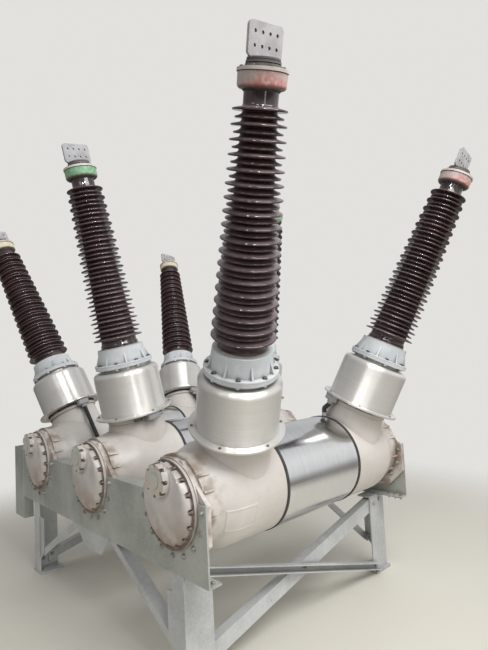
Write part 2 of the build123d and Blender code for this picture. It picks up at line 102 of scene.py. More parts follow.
def bushing_place(side, end):
    """From a bushing's own frame, with its axis along Z, to the row frame."""
    seat = Matrix.Translation((side * POLE_SPACING, end * BUSHING_BASE, AXIS_HEIGHT))
    lean = Matrix.Rotation(side * SIDE_LEAN, 4, "Y")
    tilt = Matrix.Rotation(-end * END_TILT, 4, "X")
    return seat @ lean @ tilt


def end_place(side, end):
    """From a cover's own frame, with Z out of the tank and Y up, to the row frame."""
    seat = Matrix.Translation((side * POLE_SPACING, end * BEAM_FACE, AXIS_HEIGHT))
    return seat @ Matrix.Rotation(pi / 2 + end * pi / 2, 4, "Z") @ Matrix.Rotation(pi / 2, 4, "X")


def around(radius, angle, height=0.0):
    """Place on a circle about local Z, with local X pointing outwards."""
    return Matrix.Rotation(angle, 4, "Z") @ Matrix.Translation((radius, 0, height))


def steel_x(side, value):
    """X of a place on the steelwork, given from the frame's middle plane."""
    return side * value + FRAME_SHIFT


def facing(point, direction):
    """Place at a point with local Z along a direction."""
    return Matrix.Translation(point) @ Vector(direction).to_track_quat("Z", "Y").to_matrix().to_4x4()


# Mesh helpers
class Shape:
    """Collects many small forms into one mesh."""

    def __init__(self):
        self.points = []
        self.faces = []

    def add(self, form, place=Matrix()):
        points, faces = form
        first = len(self.points)
        self.points += [place @ Vector(point) for point in points]
        self.faces += [[first + index for index in face] for face in faces]

    def piece(self, name, material, slot=None, replaces=(), crease=38):
        """Makes the object, smooth where its faces meet at less than the crease angle."""
        mesh = bpy.data.meshes.new(name)
        mesh.from_pydata(self.points, [], self.faces)
        mesh.shade_smooth()
        mesh.set_sharp_from_angle(angle=radians(crease))
        mesh.materials.append(material)
        made = bpy.data.objects.new(name, mesh)
        bpy.context.scene.collection.objects.link(made)
        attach(made, "root")
        if replaces:
            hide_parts(*replaces)


def between_rings(rows, steps):
    """Four-sided faces between each ring of points and the next."""
    faces = []
    for row in range(rows - 1):
        low, high = row * steps, (row + 1) * steps
        for step in range(steps):
            after = (step + 1) % steps
            faces.append((low + step, low + after, high + after, high + step))
    return faces


def lathe(outline, steps, capped=False, turn=0.0):
    """Turns an outline of (radius, height) points, from the bottom up, about local Z."""
    points = []
    for radius, height in outline:
        for step in range(steps):
            angle = turn + 2 * pi * step / steps
            points.append((radius * cos(angle), radius * sin(angle), height))
    faces = between_rings(len(outline), steps)
    if capped:
        faces.append(tuple(range((len(outline) - 1) * steps, len(outline) * steps)))
    return points, faces


def block(size, edge, segments=2):
    """A box about the origin with rounded edges."""
    made = bmesh.new()
    bmesh.ops.create_cube(made, size=1.0)
    bmesh.ops.scale(made, vec=size, verts=made.verts)
    bmesh.ops.bevel(made, geom=made.edges[:], offset=edge, segments=segments, profile=0.5, affect="EDGES")
    made.verts.index_update()
    form = [tuple(v.co) for v in made.verts], [[v.index for v in f.verts] for f in made.faces]
    made.free()
    return form


def tube(path, radii, steps):
    """A tube through the points of a path, with a radius at each, closed at both ends."""
    points = []
    side = None
    for index, point in enumerate(path):
        ahead = path[min(index + 1, len(path) - 1)] - path[max(index - 1, 0)]
        ahead.normalize()
        side = (side or ahead.orthogonal()).copy()
        side = (side - ahead * side.dot(ahead)).normalized()
        other = ahead.cross(side)
        for step in range(steps):
            angle = 2 * pi * step / steps
            points.append(point + radii[index] * (side * cos(angle) + other * sin(angle)))
    faces = between_rings(len(path), steps)
    faces.append(tuple(reversed(range(steps))))
    faces.append(tuple(range((len(path) - 1) * steps, len(path) * steps)))
    return points, faces


def bolt(shape, place, size, stud=0.0, turn=0.0):
    """A hexagon head or nut on its washer, with the thread end showing where stud is given."""
    seat = 0.18 * size
    head = seat + 0.66 * size
    washer = [(1.12 * size, 0), (1.12 * size, 0.7 * seat), (1.05 * size, seat), (0.4 * size, seat)]
    shape.add(lathe(washer, 18), place)
    corner = 0.93 * size
    hexagon = [(corner, seat), (corner, head - 0.1 * size), (0.8 * size, head)]
    shape.add(lathe(hexagon, 6, capped=True, turn=turn), place)
    if stud:
        radius, end = 0.48 * size, head + stud
        thread = [(radius, head - 0.01 * size), (radius, end), (0.4 * size, end + 0.08 * size)]
        shape.add(lathe(thread, 12, capped=True), place)


def bolt_circle(shape, place, count, radius, height, size, stud=0.0, start=0.0):
    """Bolts evenly spaced about local Z, each turned on its own; start is a share of one space."""
    for step in range(count):
        spot = around(radius, 2 * pi * (step + start) / count, height)
        bolt(shape, place @ spot, size, stud, step)


def screws_on(shape, place, size, width, height):
    """Four small screws near the corners of a plate that faces local Z."""
    for x in (-width / 2, width / 2):
        for y in (-height / 2, height / 2):
            bolt(shape, place @ Matrix.Translation((x, y, 0)), size, turn=x + y)


def evenly(path, step):
    """The same path with its points one step apart."""
    spaced, need = [path[0]], step
    for start, finish in zip(path, path[1:]):
        length, gone = (finish - start).length, 0.0
        while length - gone >= need:
            gone += need
            spaced.append(start.lerp(finish, gone / length))
            need = step
        need -= length - gone
    return spaced + [path[-1]]


def rounded(corners, radius, step):
    """A path of straight runs joined by soft bends."""
    bend_parts = 8
    path = [corners[0]]
    for before, corner, after in zip(corners, corners[1:], corners[2:]):
        back, ahead = (before - corner).normalized(), (after - corner).normalized()
        reach = radius / tan(back.angle(ahead) / 2)
        first, last = corner + back * reach, corner + ahead * reach
        for part in range(bend_parts + 1):
            t = part / bend_parts
            path.append(first.lerp(corner, t).lerp(corner.lerp(last, t), t))
    return evenly(path + [corners[-1]], step)


def bead(shape, start, finish, width, seed):
    """A weld bead along a straight seam, uneven as laid by hand."""
    start, finish = Vector(start), Vector(finish)
    uneven = random.Random(seed)
    count = max(int((finish - start).length / (0.45 * width)), 2)
    path = [start.lerp(finish, step / count) for step in range(count + 1)]
    radii = [width * (0.5 + 0.12 * (step % 2) + uneven.uniform(-0.06, 0.06)) for step in range(count + 1)]
    shape.add(tube(path, radii, 8))


# Material helpers
def colour(red, green, blue):
    """Linear colour of a screen colour given from 0 to 255."""
    parts = [value / 255 for value in (red, green, blue)]
    return tuple(p / 12.92 if p <= 0.04045 else ((p + 0.055) / 1.055) ** 2.4 for p in parts) + (1.0,)


class Nodes:
    """Short calls that build up one node tree, whose patterns start from its place."""

    def __init__(self, tree, coordinates):
        self.tree = tree
        self.place = self.node("TexCoord").outputs[coordinates]

    def node(self, kind, settings=None, inputs=None):
        made = self.tree.nodes.new("ShaderNode" + kind)
        for key, value in (settings or {}).items():
            setattr(made, key, value)
        for key, value in (inputs or {}).items():
            self.plug(made.inputs[key], value)
        return made

    def plug(self, socket, value):
        if isinstance(value, bpy.types.NodeSocket):
            self.tree.links.new(value, socket)
        else:
            socket.default_value = value

    def between(self, value, low, high, to_low=0.0, to_high=1.0):
        """Maps low to high of a value onto a new range, eased and held at its ends."""
        inputs = {"Value": value, "From Min": low, "From Max": high, "To Min": to_low, "To Max": to_high}
        return self.node("MapRange", {"interpolation_type": "SMOOTHSTEP"}, inputs).outputs["Result"]

    def math(self, operation, first, second=0.0):
        made = self.node("Math", {"operation": operation})
        self.plug(made.inputs[0], first)
        self.plug(made.inputs[1], second)
        return made.outputs[0]

    def mix(self, share, first, second):
        made = self.node("Mix", {"data_type": "RGBA"})
        self.plug(made.inputs[0], share)
        self.plug(made.inputs[6], first)
        self.plug(made.inputs[7], second)
        return made.outputs[2]

    def part(self, axis, place=None):
        """One coordinate of a place."""
        return self.node("SeparateXYZ", None, {0: place or self.place}).outputs[axis]


class Paint(Nodes):
    """One material, built up from a few kinds of detail in the row frame."""

    def __init__(self, name, metallic=0.0):
        self.material = bpy.data.materials.new(name)
        self.material.use_nodes = True
        super().__init__(self.material.node_tree, "Object")
        self.shader = self.tree.nodes["Principled BSDF"]
        self.shader.inputs["Metallic"].default_value = metallic
        self.height = None

    def noise(self, scale, detail=3.0, stretch=None, place=None):
        """Soft noise from 0 to 1, finer along the axes where stretch is large."""
        source = place or self.place
        if stretch:
            source = self.node("Mapping", None, {"Vector": source, "Scale": stretch}).outputs["Vector"]
        inputs = {"Vector": source, "Scale": scale, "Detail": detail, "Roughness": 0.55}
        return self.node("TexNoise", None, inputs).outputs["Fac"]

    def cells(self, scale):
        """A value from 0 to 1 for each of many scattered cells."""
        made = self.node("TexVoronoi", None, {"Vector": self.place, "Scale": scale})
        return self.part("X", made.outputs["Color"])

    def facing_up(self, low=0.2, high=0.9):
        """How far the surface faces upwards."""
        normal = self.node("NewGeometry").outputs["Normal"]
        return self.between(self.part("Z", normal), low, high)

    def corners(self, reach):
        """1 deep in inner corners, 0 on open faces: the mask for the materials' painted shade in corners.
        """
        shade = self.node("AmbientOcclusion", {"samples": 6}, {"Distance": reach}).outputs["AO"]
        return self.between(shade, 0.35, 0.85, 1.0, 0.0)

    def bushing_space(self, side):
        """Coordinates about the leaning axis of the bushings of one pole, Z along the axis."""
        across = self.math("SUBTRACT", self.part("X"), side * POLE_SPACING)
        along = self.math("SUBTRACT", self.math("ABSOLUTE", self.part("Y")), BUSHING_BASE)
        above = self.math("SUBTRACT", self.part("Z"), AXIS_HEIGHT)
        joined = self.node("CombineXYZ", None, {"X": across, "Y": along, "Z": above})
        inputs = {"Vector": joined.outputs[0], "Angle": -side * SIDE_LEAN}
        upright = self.node("VectorRotate", {"rotation_type": "Y_AXIS"}, inputs).outputs[0]
        inputs = {"Vector": upright, "Angle": END_TILT}
        return self.node("VectorRotate", {"rotation_type": "X_AXIS"}, inputs).outputs[0]

    def brushed_round(self, side, amount):
        """Draws reflections out along the leaning axis, as on a surface turned about it."""
        across = cos(END_TILT) * sin(side * SIDE_LEAN)
        along = self.math("MULTIPLY", self.math("SIGN", self.part("Y")), sin(END_TILT))
        above = cos(END_TILT) * cos(side * SIDE_LEAN)
        axis = self.node("CombineXYZ", None, {"X": across, "Y": along, "Z": above})
        self.plug(self.shader.inputs["Tangent"], axis.outputs[0])
        self.shader.inputs["Anisotropic"].default_value = amount

    def rough(self, value):
        self.plug(self.shader.inputs["Roughness"], value)

    def base(self, value):
        self.plug(self.shader.inputs["Base Color"], value)

    def bump(self, value, depth):
        """Adds a height pattern whose range of 0 to 1 stands for a depth in metres, kept in millimetres."""
        raised = self.math("MULTIPLY", value, depth * 1000)
        self.height = raised if self.height is None else self.math("ADD", self.height, raised)

    def done(self):
        """Joins the heights to the shader and gives the finished material."""
        if self.height is not None:
            made = self.node("Bump", None, {"Height": self.height, "Distance": 0.001, "Strength": 1.0})
            self.plug(self.shader.inputs["Normal"], made.outputs["Normal"])
        return self.material


# Materials
def casting_paint():
    """Warm light grey paint, stained brown towards the ends of the tank, with painted shade in corners."""
    made = Paint("casting_paint")
    wide = made.noise(2.2, 4.0)
    fine = made.noise(16.0, 4.0)
    tone = made.mix(made.between(wide, 0.35, 0.65), colour(205, 198, 191), colour(217, 212, 206))
    tone = made.mix(made.between(fine, 0.55, 0.75, 0.0, 0.25), tone, colour(192, 182, 173))
    # Painted shade in inner corners, brownish dark
    tone = made.mix(made.math("MULTIPLY", made.corners(0.07), 0.8), tone, colour(112, 96, 84))
    ends = made.between(made.math("ABSOLUTE", made.part("Y")), 0.74, 0.88, 0.0, 0.8)
    stain = made.math("MULTIPLY", ends, made.between(made.noise(8.0, 5.0), 0.42, 0.62))
    tone = made.mix(stain, tone, colour(142, 120, 102))
    made.base(tone)
    made.rough(made.between(fine, 0.3, 0.7, 0.36, 0.52))
    made.bump(made.noise(260.0, 2.0), 0.00016)
    made.bump(made.noise(38.0, 3.0), 0.0004)
    return made.done()


def cover_paint():
    """Light grey paint, stained brown towards the foot, with grime and painted shade in the bolt zone, a
    painted rim highlight, painted corner shade and a greenish hub face.
    """
    made = Paint("cover_paint")
    out = made.math("ABSOLUTE", made.part("Y"))
    wide = made.noise(5.0, 4.0)
    tone = made.mix(made.between(wide, 0.35, 0.65), colour(192, 185, 180), colour(208, 202, 197))
    low = made.between(made.part("Z"), 0.68, 0.92, 1.0, 0.0)
    stain = made.math("MULTIPLY", low, made.between(made.noise(9.0, 5.0), 0.34, 0.62, 0.25, 1.0))
    tone = made.mix(made.math("MULTIPLY", stain, 0.85), tone, colour(146, 120, 100))
    # Brown grime and painted shade over the bolt zone at the cover's rim
    rim = made.between(out, 0.9482, 0.9575, 1.0, 0.0)
    grime_and_shade = made.math("MULTIPLY", rim, made.between(made.noise(18.0, 4.0), 0.3, 0.6, 0.6, 1.0))
    tone = made.mix(made.math("MULTIPLY", grime_and_shade, 0.9), tone, colour(98, 78, 66))
    # Painted highlight along the rim's outer edge
    edge = made.between(out, 0.9466, 0.9474, 1.0, 0.0)
    tone = made.mix(made.math("MULTIPLY", edge, 0.85), tone, colour(206, 202, 196))
    hub = made.between(out, 1.0235, 1.0255)
    tone = made.mix(made.math("MULTIPLY", hub, 0.75), tone, colour(200, 203, 192))
    warm = made.math("MULTIPLY", hub, made.between(made.noise(13.0, 3.0), 0.52, 0.66))
    tone = made.mix(made.math("MULTIPLY", warm, 0.6), tone, colour(214, 188, 166))
    # Painted shade in inner corners
    tone = made.mix(made.math("MULTIPLY", made.corners(0.03), 0.8), tone, colour(92, 78, 70))
    made.base(tone)
    made.rough(made.between(wide, 0.3, 0.7, 0.28, 0.46))
    made.bump(made.noise(240.0, 2.0), 0.00014)
    made.bump(made.noise(30.0, 3.0), 0.0004)
    return made.done()


def jacket_steel():
    """Polished sheet, rolled smooth, with faint wipe marks round the barrel."""
    made = Paint("jacket_steel", 1.0)
    cloud = made.noise(3.0, 3.0, stretch=(1.0, 0.5, 1.0))
    wipes = made.noise(4.0, 2.0, stretch=(1.0, 7.0, 1.0))
    tone = made.mix(made.between(wipes, 0.3, 0.7), colour(218, 218, 219), colour(223, 223, 224))
    spots = made.between(made.noise(55.0, 4.0), 0.66, 0.74, 0.0, 0.3)
    made.base(made.mix(spots, tone, colour(150, 146, 140)))
    made.rough(made.between(cloud, 0.3, 0.7, 0.12, 0.2))
    made.bump(made.noise(2.2, 1.0), 0.0011)
    return made.done()


def housing_aluminium(pole, side):
    """Spun aluminium with fine rings about the leaning axis."""
    made = Paint("housing_aluminium_" + pole, 0.62)
    local = made.bushing_space(side)
    rings = made.noise(1.0, 2.0, stretch=(3.0, 3.0, 900.0), place=local)
    cloud = made.noise(6.0, 4.0, place=local)
    tone = made.mix(made.between(rings, 0.3, 0.7), colour(213, 210, 205), colour(223, 221, 217))
    tone = made.mix(made.between(cloud, 0.5, 0.72, 0.0, 0.25), tone, colour(198, 189, 178))
    # Painted shade in inner corners
    tone = made.mix(made.math("MULTIPLY", made.corners(0.03), 0.55), tone, colour(120, 112, 104))
    made.base(tone)
    made.rough(made.between(cloud, 0.3, 0.7, 0.32, 0.42))
    made.brushed_round(side, 0.85)
    made.bump(rings, 0.00002)
    return made.done()


def collar_paint():
    """Pale blue-grey paint with dust where it faces up, and painted shade in corners."""
    made = Paint("collar_paint")
    wide = made.noise(9.0, 4.0)
    tone = made.mix(made.between(wide, 0.35, 0.65), colour(198, 202, 205), colour(212, 216, 218))
    # Painted shade in inner corners
    tone = made.mix(made.math("MULTIPLY", made.corners(0.04), 0.7), tone, colour(122, 120, 116))
    dust = made.math("MULTIPLY", made.facing_up(), made.between(made.noise(22.0), 0.45, 0.7, 0.0, 0.4))
    tone = made.mix(dust, tone, colour(190, 184, 173))
    made.base(tone)
    made.rough(made.between(wide, 0.3, 0.7, 0.42, 0.58))
    made.bump(made.noise(300.0, 2.0), 0.00014)
    made.bump(made.noise(45.0, 3.0), 0.0003)
    return made.done()


def brown_porcelain(pole, side):
    """Dark brown glaze, with dust and painted sheen on the upper faces of the sheds, and painted shade in
    streaks on the neck above them.
    """
    made = Paint("brown_porcelain_" + pole)
    made.shader.inputs["IOR"].default_value = 1.66
    local = made.bushing_space(side)
    cloud = made.noise(7.0, 4.0, place=local)
    tone = made.mix(made.between(cloud, 0.3, 0.7), colour(57, 38, 39), colour(76, 52, 52))
    speck = made.between(made.noise(420.0, 1.0), 0.62, 0.72, 0.0, 0.35)
    tone = made.mix(speck, tone, colour(110, 86, 82))
    # Painted shade on the neck between the last shed and the cap, broken by lighter streaks
    neck_shade_mask = made.between(made.part("Z", local), LAST_SHED + 0.020, LAST_SHED + 0.030, 0.0, 0.75)
    streaks = made.noise(1.0, 2.0, stretch=(60.0, 60.0, 3.0), place=local)
    streaked_neck_shade = made.mix(made.between(streaks, 0.45, 0.65), colour(20, 13, 14), colour(62, 42, 42))
    tone = made.mix(neck_shade_mask, tone, streaked_neck_shade)
    # Dust and painted sheen on the upward faces of the sheds
    dust = made.math("MULTIPLY", made.facing_up(0.30, 0.92), made.between(cloud, 0.25, 0.7, 0.4, 0.75))
    tone = made.mix(dust, tone, colour(150, 135, 138))
    made.base(tone)
    dulled = made.math("MULTIPLY", dust, 0.25)
    made.rough(made.math("ADD", made.between(cloud, 0.3, 0.7, 0.08, 0.15), dulled))
    made.bump(made.noise(120.0, 2.0), 0.00002)
    made.bump(made.noise(24.0, 2.0), 0.0002)
    return made.done()


def cap_paint(pole, side, paint, worn, cover):
    """Phase paint, worn down to a pale primer where cover is below 1, with painted shade at the foot and in
    corners.
    """
    made = Paint("cap_paint_" + pole)
    made.shader.inputs["Specular IOR Level"].default_value = 0.35
    local = made.bushing_space(side)
    height = made.part("Z", local)
    primer = made.mix(made.noise(30.0, 3.0), colour(166, 155, 150), colour(192, 183, 178))
    patches = made.noise(13.0, 5.0, place=local)
    low = made.between(height, CAP_START + 0.008, CAP_START + 0.050, 0.75, 0.0)
    flank = made.between(made.part("X", local), 0.036, 0.064, 0.0, 0.6)
    low = made.math("MULTIPLY", low, made.between(made.part("X", local), -0.03, 0.06, 0.35, 1.0))
    amount = made.math("ADD", made.between(patches, 0.72 - 0.4 * cover, 0.80 - 0.4 * cover), low)
    flank = made.math("MULTIPLY", flank, made.between(patches, 0.35, 0.55, 0.4, 1.0))
    amount = made.math("ADD", amount, flank)
    ring = made.between(height, CAP_TOP - 0.0045, CAP_TOP - 0.0035, 1.0, 0.0)
    painted = made.mix(made.between(made.noise(50.0, 4.0), 0.4, 0.65), colour(*paint), colour(*worn))
    share = made.math("MINIMUM", made.math("MULTIPLY", amount, ring), 1.0)
    tone = made.mix(share, primer, painted)
    # Painted shade at the cap's foot, reddish brown
    grime_and_shade = made.between(height, CAP_START + 0.002, CAP_START + 0.017, 0.85, 0.0)
    tone = made.mix(grime_and_shade, tone, colour(98, 66, 60))
    # Painted shade in inner corners
    tone = made.mix(made.math("MULTIPLY", made.corners(0.02), 0.6), tone, colour(96, 82, 76))
    made.base(tone)
    made.rough(made.between(patches, 0.3, 0.7, 0.36, 0.55))
    made.bump(made.noise(160.0, 3.0), 0.00016)
    made.bump(patches, 0.0003)
    return made.done()


def terminal_aluminium(pole, side, dark, bright):
    """Oxidised pad and rim plate, with darker turned rings on the boss between them."""
    made = Paint("terminal_aluminium_" + pole, 0.05)
    made.shader.inputs["Specular IOR Level"].default_value = 0.25
    local = made.bushing_space(side)
    height = made.part("Z", local)
    rings = made.noise(1.0, 2.0, stretch=(2.0, 2.0, 500.0), place=local)
    cloud = made.noise(14.0, 4.0, place=local)
    light = made.mix(made.between(cloud, 0.35, 0.65), colour(*dark), colour(*bright))
    turned = made.mix(made.between(rings, 0.35, 0.65), colour(92, 88, 86), colour(124, 120, 117))
    above_rim = made.between(height, RIM_TOP + 0.0006, RIM_TOP + 0.0016)
    below_pad = made.between(height, BOSS_TOP - 0.001, BOSS_TOP + 0.001, 1.0, 0.0)
    plate = made.mix(made.between(cloud, 0.35, 0.65), colour(196, 186, 182), colour(212, 204, 200))
    light = made.mix(above_rim, plate, light)
    boss = made.math("MULTIPLY", above_rim, below_pad)
    tone = made.mix(boss, light, turned)
    # Painted shade in inner corners
    tone = made.mix(made.math("MULTIPLY", made.corners(0.015), 0.7), tone, colour(60, 56, 54))
    made.base(tone)
    made.rough(made.between(cloud, 0.3, 0.7, 0.54, 0.66))
    made.bump(made.math("MULTIPLY", rings, boss), 0.00006)
    made.bump(made.noise(16.0, 0.0, place=local), 0.0001)
    return made.done()


def rubber(name, tone):
    """Black rubber, greyed by dust."""
    made = Paint(name)
    grain = made.noise(60.0, 4.0)
    dusty = tuple(min(part + 30, 255) for part in tone)
    shade = made.mix(made.between(grain, 0.35, 0.7), colour(*tone), colour(*dusty))
    made.base(shade)
    made.rough(made.between(grain, 0.3, 0.7, 0.5, 0.72))
    made.bump(made.noise(300.0, 2.0), 0.0002)
    return made.done()


def galvanised(name, dark, light):
    """Hot-dip zinc: cells of spangle, clouded tone, painted shade in corners and specks of rust."""
    made = Paint(name, 0.2)
    cloud = made.noise(3.0, 5.0)
    tone = made.mix(made.between(cloud, 0.35, 0.65), colour(*dark), colour(*light))
    spangle = made.between(made.cells(85.0), 0.0, 1.0, 0.0, 0.18)
    tone = made.mix(spangle, tone, colour(*[min(part + 24, 255) for part in light]))
    runs = made.noise(9.0, 4.0, stretch=(1.0, 1.0, 0.15))
    tone = made.mix(made.between(runs, 0.56, 0.74, 0.0, 0.35), tone, colour(*[part - 30 for part in dark]))
    specks = made.math("MULTIPLY", made.between(made.noise(46.0, 5.0), 0.62, 0.70), 0.55)
    patch = made.between(made.noise(4.0, 2.0), 0.5, 0.64)
    tone = made.mix(made.math("MULTIPLY", specks, patch), tone, colour(140, 112, 90))
    # Painted shade in inner corners
    tone = made.mix(made.math("MULTIPLY", made.corners(0.05), 0.5), tone, colour(96, 92, 88))
    made.base(tone)
    made.rough(made.between(cloud, 0.3, 0.7, 0.40, 0.56))
    made.bump(made.noise(70.0, 4.0), 0.0003)
    made.bump(spangle, 0.00015)
    return made.done()


def bolt_steel(name, tone, metallic=0.8):
    """Bolts with a dull coat and some rust."""
    made = Paint(name, metallic)
    cloud = made.noise(38.0, 4.0)
    shade = made.mix(made.between(cloud, 0.35, 0.65), colour(*tone), colour(*[part + 34 for part in tone]))
    rust = made.between(made.noise(24.0, 5.0), 0.6, 0.72, 0.0, 0.45)
    made.base(made.mix(rust, shade, colour(122, 92, 72)))
    made.rough(made.between(cloud, 0.3, 0.7, 0.3, 0.5))
    made.bump(made.noise(240.0, 2.0), 0.0002)
    return made.done()


def plain_paint(name, low, high, roughness, grain):
    """One mottled coat with a fine uneven surface, and painted shade in corners."""
    made = Paint(name)
    tone = made.mix(made.noise(40.0, 4.0), colour(*low), colour(*high))
    # Painted shade in inner corners
    tone = made.mix(made.math("MULTIPLY", made.corners(0.012), 0.6), tone, colour(90, 84, 78))
    made.base(tone)
    made.rough(roughness)
    made.bump(made.noise(90.0, 3.0), grain)
    return made.done()


materials = {
    "casting_paint": casting_paint(),
    "jacket_steel": jacket_steel(),
    "cover_paint": cover_paint(),
    "collar_paint": collar_paint(),
    "hose_rubber": rubber("hose_rubber", (26, 26, 28)),
    "band_rubber": rubber("band_rubber", (40, 38, 38)),
    "galvanised_beam": galvanised("galvanised_beam", (154, 157, 151), (179, 181, 174)),
    "galvanised_leg": galvanised("galvanised_leg", (171, 173, 173), (195, 196, 196)),
    "cap_paint_a": cap_paint("a", 1, (190, 126, 121), (208, 168, 163), 0.16),
    "cap_paint_b": cap_paint("b", 0, (114, 160, 124), (138, 178, 144), 1.2),
    "cap_paint_c": cap_paint("c", -1, (212, 204, 172), (226, 220, 196), 0.9),
}

# Darkest and lightest tone of the terminal pads of each pole; the poles differ only as painted light and
# shade, A lighter and B darker than C
PAD_SHADED_TONES = {
    "a": ((174, 171, 173), (192, 190, 192)),
    "b": ((152, 151, 154), (172, 171, 174)),
    "c": ((164, 162, 164), (184, 182, 184)),
}

bolt_zinc = bolt_steel("bolt_zinc", (150, 148, 144))
bolt_dark = bolt_steel("bolt_dark", (84, 80, 76), 0.6)
bolt_stained = bolt_steel("bolt_stained", (122, 106, 94), 0.3)
box_paint = plain_paint("box_paint", (150, 152, 152), (176, 178, 178), 0.45, 0.0002)
sealant = plain_paint("grey_sealant", (150, 146, 140), (184, 180, 172), 0.75, 0.0009)
for pole, side in POLES.items():
    materials["housing_aluminium", pole] = housing_aluminium(pole, side)
    materials["brown_porcelain", pole] = brown_porcelain(pole, side)
    materials["terminal_aluminium", pole] = terminal_aluminium(pole, side, *PAD_SHADED_TONES[pole])
for name, node in frame["nodes"].items():
    slot = record_slots[name]
    finish = materials.get(slot) or materials[slot, name[-1]]
    node.data.materials.clear()
    node.data.materials.append(finish)


# Porcelain insulators
FOOT_RADIUS = 0.127
TRUNK_LOW_RADIUS = 0.121
TRUNK_HIGH_RADIUS = 0.075
SHED_NOSE = 0.0047

# How far the large and the small sheds stand out, at the foot and at the cap
LARGE_REACH = (0.048, 0.045)
SMALL_REACH = (0.033, 0.031)


def trunk_radius(station):
    """Radius between the sheds, smaller towards the cap."""
    share = min(max((station - COLLAR_TOP) / (LAST_SHED - COLLAR_TOP), 0.0), 1.0)
    return TRUNK_LOW_RADIUS + (TRUNK_HIGH_RADIUS - TRUNK_LOW_RADIUS) * share


def shed_outline(station, reach):
    """One shed from its root below to its root above, with a rounded tip."""
    low, high = station - 0.005, station + 0.015
    root_low, root_high = trunk_radius(low), trunk_radius(high)
    tip = trunk_radius(station) + reach
    points = [(root_low, low - 0.005), (root_low + 0.002, low - 0.0012), (root_low + 0.007, low + 0.0002)]
    points.append((tip - 0.014, station - 0.0053))
    for degrees in (-80, -45, -10, 25, 60):
        angle = radians(degrees)
        points.append((tip - SHED_NOSE + SHED_NOSE * cos(angle), station + SHED_NOSE * sin(angle)))
    points += [(tip - 0.017, station + 0.0078), (root_high + 0.008, high - 0.0035)]
    points += [(root_high + 0.003, high - 0.0005), (root_high, high + 0.005)]
    return points


def porcelain_form():
    """The whole outside of one porcelain, with large and small sheds by turns."""
    points = [(FOOT_RADIUS - 0.001, COLLAR_TOP - 0.012), (FOOT_RADIUS, COLLAR_TOP)]
    points += [(FOOT_RADIUS, COLLAR_TOP + 0.018), (FOOT_RADIUS - 0.001, COLLAR_TOP + 0.024)]
    points.append((trunk_radius(COLLAR_TOP + 0.034), COLLAR_TOP + 0.034))
    for index in range(2 * LARGE_SHEDS - 1):
        station = FIRST_SHED + index * SHED_PITCH / 2
        share = (station - FIRST_SHED) / (LAST_SHED - FIRST_SHED)
        at_foot, at_cap = SMALL_REACH if index % 2 else LARGE_REACH
        points += shed_outline(station, at_foot + (at_cap - at_foot) * share)
    points += [(TRUNK_HIGH_RADIUS, CAP_START - 0.02), (TRUNK_HIGH_RADIUS, CAP_START + 0.01)]
    return lathe(points, 72)


glazed = porcelain_form()
for pole, side in POLES.items():
    body = Shape()
    for end in ENDS:
        body.add(glazed, bushing_place(side, end))
    glaze = materials["brown_porcelain", pole]
    body.piece("porcelain_" + pole, glaze, "brown_porcelain", ["porcelains_" + pole], 60)

# Thicker flange faces on the collars, and the seals at both ends of the porcelains
COLLAR_FLANGE = 0.032
flange_face = [(0.1955, 0.020), (0.1965, 0.022), (0.1965, 0.0295)]
flange_face += [(0.195, COLLAR_FLANGE), (0.160, COLLAR_FLANGE)]
foot_seal = [(0.124, 0.0), (0.1345, 0.0005), (0.1325, 0.004), (0.127, 0.0065), (0.1268, 0.0065)]
cap_seal = [(0.0745, -0.009), (0.079, -0.007), (0.0825, -0.002), (0.083, 0.001)]
flange_faces, foot_seals, cap_seals = Shape(), Shape(), Shape()
for side, end in BUSHINGS:
    place = bushing_place(side, end)
    flange_faces.add(lathe(flange_face, 96), place @ Matrix.Translation((0, 0, COLLAR_START)))
    foot_seals.add(lathe(foot_seal, 64), place @ Matrix.Translation((0, 0, COLLAR_TOP)))
    cap_seals.add(lathe(cap_seal, 64), place @ Matrix.Translation((0, 0, CAP_START)))
flange_faces.piece("collar_flange_faces", materials["collar_paint"], "collar_paint")
foot_seals.piece("sealing_beads", sealant, "collar_paint")
cap_seals.piece("cap_seals", materials["band_rubber"], "band_rubber")


# Current transformer housings, spun with a round shoulder
HOUSING_RADIUS = 0.224
HOUSING_FLANGE_RADIUS = 0.264
HOUSING_FLANGE_TOP = HOUSING_START + 0.014
HOUSING_NECK_RADIUS = 0.166
SHOULDER = 0.036
SHOULDER_STEPS = 12
spun = [(0.200, HOUSING_START), (HOUSING_FLANGE_RADIUS - 0.002, HOUSING_START)]
spun += [(HOUSING_FLANGE_RADIUS, HOUSING_START + 0.002), (HOUSING_FLANGE_RADIUS, HOUSING_START + 0.0125)]
spun += [(HOUSING_FLANGE_RADIUS - 0.0015, HOUSING_FLANGE_TOP), (HOUSING_RADIUS + 0.004, HOUSING_FLANGE_TOP)]
spun += [(HOUSING_RADIUS + 0.0012, HOUSING_START + 0.0155), (HOUSING_RADIUS, HOUSING_START + 0.019)]
for step in range(SHOULDER_STEPS + 1):
    angle = pi / 2 * step / SHOULDER_STEPS
    spun.append((HOUSING_RADIUS - SHOULDER * (1 - cos(angle)), HOUSING_TOP - SHOULDER * (1 - sin(angle))))
spun += [(HOUSING_NECK_RADIUS + 0.004, HOUSING_TOP), (HOUSING_NECK_RADIUS + 0.0005, HOUSING_TOP + 0.002)]
spun += [(HOUSING_NECK_RADIUS, HOUSING_TOP + 0.005), (HOUSING_NECK_RADIUS, COLLAR_START - 0.0005)]
for pole, side in POLES.items():
    body = Shape()
    for end in ENDS:
        body.add(lathe(spun, 128), bushing_place(side, end))
    metal = materials["housing_aluminium", pole]
    body.piece("housings_" + pole, metal, "housing_aluminium", ["ct_housings_" + pole])


